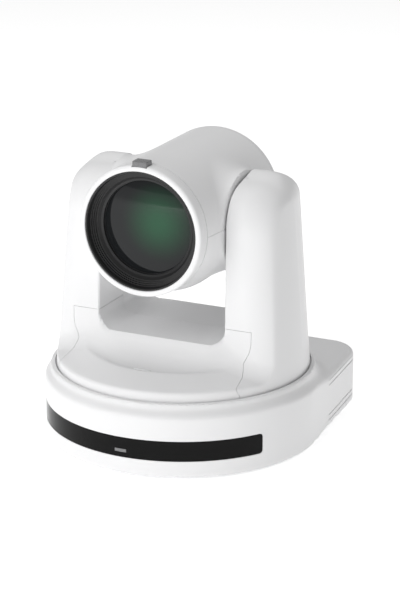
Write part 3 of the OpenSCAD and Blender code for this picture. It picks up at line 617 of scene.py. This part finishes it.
def panel_outline(p):
    """Distance outside the flat inner panel of an arm."""
    return round_meet(arm_side(p[:, 0], p[:, 1]) + WALL + 1, SEAM_Z + 6 - p[:, 1], 0.5)


yoke_cover = yoke_shell("yoke_shell", YOKE_VOXEL)
front_cover = yoke_cover.copy()
front_cover.data = yoke_cover.data.copy()
front_cover.name = "yoke_front_shell"
scene.collection.objects.link(front_cover)
carve(yoke_cover, [
    cutter(cover_space, -0.1, SEAM_Y),
    *[prism(panel_outline, PANEL_MIDDLE, PANEL_START_R, "X", *ends)
      for ends in ((HALF_GAP - PAST, HALF_GAP + WALL), (-HALF_GAP - WALL, PAST - HALF_GAP))],
])
carve(front_cover, [cutter(cover_space, SEAM_CLEAR, SEAM_Y)], "INTERSECT")
for piece, node in ((yoke_cover, "yoke_cover"), (front_cover, "yoke_front_cover")):
    crisp(piece)
    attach(piece, "turntable")
    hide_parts(node)
# Each arm's inner face is closed by a flat panel with a hole for the head's shaft.
for side, node, name in ((-1, "left_arm_panel", "left_panel"),
                         (1, "right_arm_panel", "right_panel")):
    ends = sorted((side * (HALF_GAP + PANEL_SINK), side * (HALF_GAP + WALL - PANEL_SINK)))
    panel = prism(lambda p: panel_outline(p) + 0.2, PANEL_MIDDLE, PANEL_START_R, "X", *ends)
    panel.name = name
    carve(panel, [cutter(add_drum, SHAFT_R + 1, -FAR, FAR, ACROSS, (0, 0, TILT_Z))])
    crisp(panel)
    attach(panel, "turntable")
    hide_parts(node)

# A small oval pad marks the front of the hollow, its face along the slope it is set in.
PAD_R = 2.1
PAD_STRETCH = 3
PAD_T = 1.4
PAD_SUNK = 0.8
PAD_EDGE_R = 0.3
mark_y = (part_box("index_mark")[0].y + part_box("index_mark")[1].y) / 2 / MM
foot = settle(np.array([[0.0, mark_y, BOWL_Z]]), yoke_form, 30)[0]
slope_y = float((yoke_form(foot[None] + (0, 0.5, 0)) - yoke_form(foot[None] - (0, 0.5, 0)))[0])
bm = bmesh.new()
bmesh.ops.create_circle(bm, cap_ends=True, segments=64, radius=PAD_R)
for v in bm.verts:
    v.co.x += math.copysign(PAD_STRETCH, v.co.x) if abs(v.co.x) > 1e-4 else 0
made = bmesh.ops.extrude_face_region(bm, geom=bm.faces[:])
top = [g for g in made["geom"] if isinstance(g, bmesh.types.BMVert)]
bmesh.ops.translate(bm, verts=top, vec=(0, 0, PAD_T))
rim_edges = [e for e in bm.edges if all(v in top for v in e.verts)]
bmesh.ops.bevel(bm, geom=rim_edges, offset=PAD_EDGE_R, segments=3, profile=0.5, affect="EDGES",
                material=-1)
bmesh.ops.recalc_face_normals(bm, faces=bm.faces)
lean = Matrix.Rotation(math.asin(max(-0.5, min(0.5, -slope_y))), 4, "X")
sunk = Matrix.Translation((0, 0, -PAD_SUNK))
bmesh.ops.transform(bm, matrix=Matrix.Translation(foot) @ lean @ sunk, verts=bm.verts)
pad = crisp(as_object(bm, "index_pad", white_mat))
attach(pad, "turntable")
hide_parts("index_mark")


# ---------- head covers ----------
# The head is a white barrel in three mouldings: an upper and a lower half that meet on a level
# seam, and a rounded cap at the rear. A round boss on each side runs out to the arm.

bezel_low, bezel_high = box_mm("front_bezel")
cap_low, cap_high = box_mm("head_rear_cover")
upper_low = box_mm("head_upper_cover")[0]
LENS_Z = (bezel_low.z + bezel_high.z) / 2
BEZEL_R = (bezel_high.z - bezel_low.z) / 2
HEAD_R = cap_high.z - TILT_Z
SIDE_FLAT = cap_high.x
TRUNNION_R = 28.5
HEAD_FRONT = upper_low.y
SPLIT_Z = upper_low.z
CAP_Y = cap_low.y
NOSE_LIMIT = HEAD_FRONT - 3
INNER_LIMIT = HEAD_FRONT - 12
BOSS_EDGE_R = 1.0
BOSS_JOIN_R = 6
FLAT_EDGE_R = 0.8
CAP_EDGE_R = 6
HEAD_VOXEL = 1.1
HEAD_SEAM = 0.2
ABOVE = 300


def head_form(p, inset=0.0, front=NOSE_LIMIT):
    """Distance outside the head's covers; the nose narrows and rises a little to the bezel."""
    x, y, z = np.abs(p[:, 0]), p[:, 1], p[:, 2]
    nose = ease((-y - 22) / (-HEAD_FRONT - 20))
    centre = TILT_Z + (LENS_Z - TILT_Z) * nose
    barrel = np.hypot(x, z - centre) - (HEAD_R - (HEAD_R - BEZEL_R) * nose)
    flat = x - SIDE_FLAT
    boss = np.hypot(y, z - TILT_Z) - TRUNNION_R
    both = round_join(barrel, round_meet(boss, flat, BOSS_EDGE_R), BOSS_JOIN_R)
    both = round_meet(both, flat, FLAT_EDGE_R)
    both = round_meet(both, y - cap_high.y, CAP_EDGE_R)
    return np.maximum(both + inset, front - y)


def head_lumps(inset, front):
    """Rough blocks for the barrel and its two bosses."""
    bm = bmesh.new()
    lying = Matrix.Rotation(math.radians(-90), 4, "X")
    add_drum(bm, HEAD_R - inset - 1.5, front, cap_high.y - inset, lying, (0, 0, TILT_Z))
    add_drum(bm, TRUNNION_R - inset, -SIDE_FLAT + inset, SIDE_FLAT - inset,
             ACROSS, (0, 0, TILT_Z))
    return bm


head_shell = moulded("head_shell", head_lumps(0, NOSE_LIMIT), head_form, HEAD_VOXEL, white_mat)
carve(head_shell, [
    moulded("cutter", head_lumps(WALL, INNER_LIMIT), lambda p: head_form(p, WALL, INNER_LIMIT),
            INNER_VOXEL, white_mat),
    cutter(add_block, (-FAR, -FAR, 0), (FAR, HEAD_FRONT, ABOVE)),
    cutter(add_drum, SHAFT_R, -FAR, FAR, ACROSS, (0, 0, TILT_Z)),
])
for node, name, low, high in (
    ("head_upper_cover", "head_upper_shell", (-FAR, -FAR, SPLIT_Z),
     (FAR, CAP_Y - HEAD_SEAM, ABOVE)),
    ("head_lower_cover", "head_lower_shell", (-FAR, -FAR, 0),
     (FAR, CAP_Y - HEAD_SEAM, SPLIT_Z - HEAD_SEAM)),
    ("head_rear_cover", "head_cap", (-FAR, CAP_Y, 0), (FAR, FAR, ABOVE)),
):
    part = head_shell.copy()
    part.data = head_shell.data.copy()
    part.name = name
    scene.collection.objects.link(part)
    carve(part, [cutter(add_block, low, high)], "INTERSECT")
    crisp(part)
    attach(part, "head")
    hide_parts(node)
bpy.data.objects.remove(head_shell)


# ---------- bezel, hood and front glass ----------
# A white ring closes the barrel's front. Inside it a black hood steps inwards in fine rings, which
# kill stray light, to the domed, coated front glass, whose green reflection is painted into its
# colour.

def turned(profile, mat, name, centre_z, steps=192):
    """A ring turned about the lens axis from (radius, y, rounding) corners."""
    bm = bmesh.new()
    corners = [bm.verts.new((r, y, 0)) for r, y, _ in profile]
    bm.faces.new(corners)
    for corner, (_, _, rounding) in zip(corners, profile):
        if rounding:
            bmesh.ops.bevel(bm, geom=[corner], offset=rounding, segments=4, profile=0.5,
                            affect="VERTICES", material=-1)
    bmesh.ops.delete(bm, geom=bm.faces[:], context="FACES_ONLY")
    on_axis = [e for e in bm.edges if max(abs(v.co.x) for v in e.verts) < 1e-6]
    bmesh.ops.delete(bm, geom=on_axis, context="EDGES")
    bmesh.ops.spin(bm, geom=bm.verts[:] + bm.edges[:], cent=(0, 0, 0), axis=(0, 1, 0),
                   angle=math.tau, steps=steps, use_duplicate=False)
    bmesh.ops.remove_doubles(bm, verts=bm.verts, dist=2e-3)
    bmesh.ops.translate(bm, verts=bm.verts, vec=(0, 0, centre_z))
    bmesh.ops.recalc_face_normals(bm, faces=bm.faces)
    return as_object(bm, name, mat)


hood_low, hood_high = box_mm("lens_hood")
glass_low, glass_high = box_mm("front_glass")
lamp_low, lamp_high = box_mm("tally_lamp")
HOOD_R = (hood_high.z - hood_low.z) / 2
GLASS_R = (glass_high.z - glass_low.z) / 2
FRONT = bezel_low.y
CLEAR = 0.2
BEZEL_BORE = HOOD_R + 0.05

bezel = turned([(BEZEL_BORE, FRONT, 0.5), (BEZEL_R, FRONT, 1.5), (BEZEL_R, bezel_high.y, 0.3),
                (BEZEL_BORE, bezel_high.y, 0)], white_mat, "bezel_ring", LENS_Z)
carve(bezel, [cutter(add_block, (lamp_low.x - CLEAR, lamp_low.y - CLEAR, lamp_low.z - CLEAR),
                     (lamp_high.x + CLEAR, lamp_high.y + CLEAR, lamp_high.z + PAST))])
crisp(bezel)
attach(bezel, "head")
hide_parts("front_bezel")

hood_mat, hood_shader = finish_nodes("hood_black", (0.02, 0.02, 0.0205), 0.5)
grain(hood_mat, hood_shader, 2800, 0.12, 0.06, 0.05)
RINGS = 4
rings_in, rings_out = Vector((HOOD_R - 1.4, FRONT + 3)), Vector((HOOD_R - 4.5, FRONT + 6.6))
ring_steps = []
for i in range(RINGS):
    a = rings_in.lerp(rings_out, i / RINGS)
    b = rings_in.lerp(rings_out, (i + 1) / RINGS)
    ring_steps += [(a.x, a.y, 0), (a.x + 0.12, b.y - 0.15, 0), (b.x, b.y - 0.1, 0)]
RECESS = glass_high.y - 4 - FRONT
hood = turned([
    (HOOD_R, FRONT + 0.5, 0.2), (HOOD_R - 1, FRONT + 0.5, 0.3), *ring_steps,
    (GLASS_R + 1.6, FRONT + RECESS - 2.2, 0.2), (GLASS_R + 0.3, FRONT + RECESS - 1.8, 0.15),
    (GLASS_R + 0.3, FRONT + RECESS - 0.5, 0), (GLASS_R + 1.3, FRONT + RECESS - 0.5, 0),
    (HOOD_R - 1, FRONT + 6.5, 0), (HOOD_R, FRONT + 4.5, 0),
], hood_mat, "hood_funnel", LENS_Z)
crisp(hood, 40)
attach(hood, "head")
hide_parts("lens_hood")

glass_mat, glass_shader = finish_nodes("coated_glass", (0.012, 0.02, 0.02), 0.05)
glass_shader.inputs["IOR"].default_value = 1.36
tree = glass_mat.node_tree
# Painted reflection: a round patch above and beside the lens centre runs from near black at its edge
# through blue and teal to green in its middle, standing for light mirrored in the coating.
place = tree.nodes.new("ShaderNodeTexCoord")
reflection_place = tree.nodes.new("ShaderNodeMapping")
reflection_place.vector_type = "POINT"
REFLECTION_R = 25.0
REFLECTION_AT = Vector((8, glass_low.y, LENS_Z + 4))
reflection_place.inputs["Scale"].default_value = [1 / (REFLECTION_R * MM)] * 3
reflection_place.inputs["Location"].default_value = -REFLECTION_AT / REFLECTION_R
reflection_ball = tree.nodes.new("ShaderNodeTexGradient")
reflection_ball.gradient_type = "SPHERICAL"
ramp = tree.nodes.new("ShaderNodeValToRGB")
ramp.color_ramp.interpolation = "EASE"
for at, colour in ((0.0, (0.012, 0.013, 0.014)), (0.3, (0.014, 0.024, 0.05)),
                   (0.62, (0.012, 0.045, 0.045)), (1.0, (0.02, 0.085, 0.042))):
    stop = ramp.color_ramp.elements.new(at) if 0 < at < 1 else ramp.color_ramp.elements[int(at)]
    stop.position = at
    stop.color = (*colour, 1)
speck = tree.nodes.new("ShaderNodeTexNoise")
speck.inputs["Scale"].default_value = 60
wear = tree.nodes.new("ShaderNodeMapRange")
wear.inputs["To Min"].default_value = 0.03
wear.inputs["To Max"].default_value = 0.07
tree.links.new(place.outputs["Object"], reflection_place.inputs["Vector"])
tree.links.new(place.outputs["Object"], speck.inputs["Vector"])
tree.links.new(reflection_place.outputs["Vector"], reflection_ball.inputs["Vector"])
tree.links.new(reflection_ball.outputs["Fac"], ramp.inputs["Fac"])
tree.links.new(ramp.outputs["Color"], glass_shader.inputs["Base Color"])
tree.links.new(speck.outputs["Fac"], wear.inputs["Value"])
tree.links.new(wear.outputs["Result"], glass_shader.inputs["Roughness"])

CROWN = 2.6
DOME_STEPS = 24
dome_r = (GLASS_R ** 2 + CROWN ** 2) / (2 * CROWN)
dome = []
for i in range(DOME_STEPS + 1):
    r = GLASS_R * i / DOME_STEPS
    dome.append((r, glass_low.y + dome_r - math.sqrt(dome_r ** 2 - r ** 2), 0))
glass = turned([*dome, (GLASS_R, glass_high.y, 0), (0, glass_high.y, 0)], glass_mat,
               "glass_dome", LENS_Z)
crisp(glass)
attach(glass, "head")
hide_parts("front_glass")


# ---------- tally lamp ----------
# A smoky translucent block on top of the bezel lights up while the picture is on the air.

lamp_mat, lamp_shader = finish_nodes("tally_grey", (0.2, 0.2, 0.205), 0.28)
lamp_shader.inputs["Subsurface Weight"].default_value = 0.25
lamp_shader.inputs["Subsurface Radius"].default_value = (0.002, 0.002, 0.002)
grain(lamp_mat, lamp_shader, 1500, 0.03, 0.03)
LAMP_DROP = 1.3
bm = bmesh.new()
add_block(bm, lamp_low, lamp_high - Vector((0, 0, LAMP_DROP)))
upright = [e for e in bm.edges if abs(e.verts[0].co.z - e.verts[1].co.z) > 1]
bmesh.ops.bevel(bm, geom=upright, offset=0.8, segments=4, profile=0.5, affect="EDGES", material=-1)
level = [e for e in bm.edges if min(v.co.z for v in e.verts) > lamp_high.z - LAMP_DROP - 0.1]
bmesh.ops.bevel(bm, geom=level, offset=0.6, segments=4, profile=0.5, affect="EDGES", material=-1)
lamp = crisp(as_object(bm, "tally_block", lamp_mat))
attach(lamp, "head")
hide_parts("tally_lamp")
nodes["status_lens"].data.materials.clear()
nodes["status_lens"].data.materials.append(lamp_mat)


# ---------- metal, boards and drives ----------
# The rest is seen only from below, from behind or through the connector openings: pressed steel,
# turned shafts, circuit boards, motors, toothed belts and the nylon wheels they run on.

def finish(slot_name, colour, roughness, metallic, scale, bump, rough, tint, stretch, members):
    """One material for the CAD pieces that share a finish."""
    mat, shader = finish_nodes(slot_name, colour, roughness, metallic)
    grain(mat, shader, scale, bump, rough, tint, stretch)
    for member in members.split():
        nodes[member].data.materials.clear()
        nodes[member].data.materials.append(mat)


EVEN = (1, 1, 1)
BRUSHED = (1, 0.06, 1)
finish("sheet_steel", (0.56, 0.57, 0.58), 0.33, 1.0, 1600, 0.08, 0.08, 0.04, BRUSHED,
       "bottom_plate lan_port control_port hdmi_port sdi_connector pan_bearing_inner "
       "retaining_ring base_screws pan_motor_shaft turntable_plate pan_bearing_outer yoke_frame "
       "tilt_bearings yoke_screws tilt_motor_shaft tilt_shafts guide_rods head_screws")
finish("rubber", (0.018, 0.018, 0.018), 0.75, 0, 1400, 0.25, 0.08, 0.1, EVEN, "rubber_feet")
finish("brass", (0.66, 0.48, 0.2), 0.3, 1.0, 1800, 0.05, 0.06, 0.05, EVEN, "tripod_bush")
finish("dark_plastic", (0.028, 0.028, 0.03), 0.45, 0, 2400, 0.12, 0.06, 0.08, EVEN,
       "rear_panel dc_jack audio_jack lens_barrel zoom_group focus_group")
finish("circuit_board", (0.012, 0.09, 0.035), 0.4, 0, 900, 0.1, 0.08, 0.25, EVEN,
       "io_board main_board ir_board drive_board sensor_board")
finish("chip_black", (0.02, 0.02, 0.022), 0.5, 0, 2000, 0.1, 0.05, 0.1, EVEN, "processor")
finish("aluminium", (0.72, 0.73, 0.74), 0.38, 1.0, 1500, 0.06, 0.08, 0.04, EVEN,
       "heat_sink pan_post pan_hub head_frame")
finish("motor_black", (0.025, 0.025, 0.027), 0.4, 0.3, 1500, 0.08, 0.06, 0.08, EVEN,
       "pan_motor tilt_motor zoom_motor")
finish("belt_rubber", (0.02, 0.02, 0.02), 0.7, 0, 1800, 0.2, 0.06, 0.1, EVEN, "pan_belt tilt_belt")
finish("nylon", (0.78, 0.77, 0.72), 0.42, 0, 1500, 0.06, 0.05, 0.03, EVEN,
       "pan_pinion pan_pulley tilt_pinion tilt_pulley")
